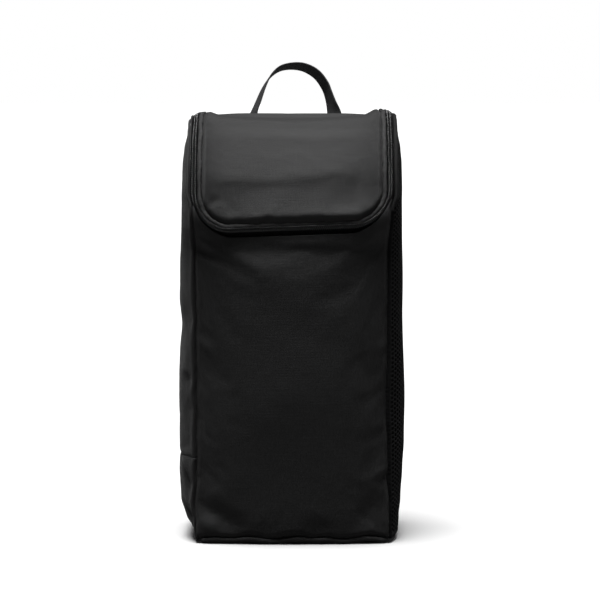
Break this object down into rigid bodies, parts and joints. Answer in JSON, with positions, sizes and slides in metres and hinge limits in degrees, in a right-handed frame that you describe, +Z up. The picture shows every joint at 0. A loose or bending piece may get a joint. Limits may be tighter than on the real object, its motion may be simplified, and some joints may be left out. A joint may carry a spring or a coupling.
{
  "type": "shoe bag",
  "caption": "Upright zipped shoe bag with a U-shaped zip lid over the top and front, a nylon body, one mesh side and a webbing hanging loop.",
  "frame": {"origin": "middle of the base, on the surface the bag stands on", "axes": "+Z up, the zipped front faces -Y, the mesh side faces +X"},
  "size_m": [0.193, 0.1524, 0.4268],
  "materials": {
    "nylon": "matt black plain-weave nylon with a soft sheen",
    "spacer_mesh": "black knitted air mesh with small round holes",
    "zip_tape": "black ribbed polyester zip tape",
    "zip_coil": "black polyester coil teeth, slightly glossy",
    "webbing": "black woven nylon webbing",
    "binding": "black folded binding tape over the inside seams",
    "painted_zinc": "black painted zinc"
  },
  "bodies": {
    "bag": {"front_panel": "nylon", "back_panel": "nylon", "base_panel": "nylon", "left_gusset_lower": "nylon", "left_gusset_upper": "nylon", "right_mesh_gusset": "spacer_mesh", "base_piping": "nylon", "left_mouth_welt": "nylon", "right_mouth_welt": "nylon", "front_left_seam_binding": "binding", "front_right_seam_binding": "binding", "back_left_seam_binding": "binding", "back_right_seam_binding": "binding", "base_seam_binding": "binding", "hinge_seam_binding": "binding", "bag_zip_tape": "zip_tape", "bag_zip_coil": "zip_coil", "left_zip_stop": "painted_zinc", "right_zip_stop": "painted_zinc", "left_handle_end": "webbing", "right_handle_end": "webbing", "handle_backing_strip": "webbing"},
    "lid": {"lid_panel": "nylon", "lid_piping": "nylon", "lid_zip_tape": "zip_tape", "lid_zip_coil": "zip_coil"},
    "slider": {"zip_slider": "painted_zinc"},
    "pull": {"pull_tab": "painted_zinc"},
    "handle": {"handle_loop": "webbing"}
  },
  "joints": [
    {"name": "lid_hinge", "type": "hinge", "parent": "bag", "child": "lid", "pos_m": [0, 0.0574, 0.3774], "axis": [-1, 0, 0], "range_deg": [0, 100]},
    {"name": "slider_slide", "type": "slide", "parent": "bag", "child": "slider", "axis": [0, -1, 0], "range_m": [0, 0.04]},
    {"name": "pull_swing", "type": "hinge", "parent": "slider", "child": "pull", "pos_m": [0.0855, 0.0514, 0.38005], "axis": [1, 0, 0], "range_deg": [0, 170]},
    {"name": "handle_swing", "type": "hinge", "parent": "bag", "child": "handle", "pos_m": [0, 0.059, 0.3684], "axis": [-1, 0, 0], "range_deg": [0, 95], "stiffness_Nm_per_rad": 0.01}
  ]
}
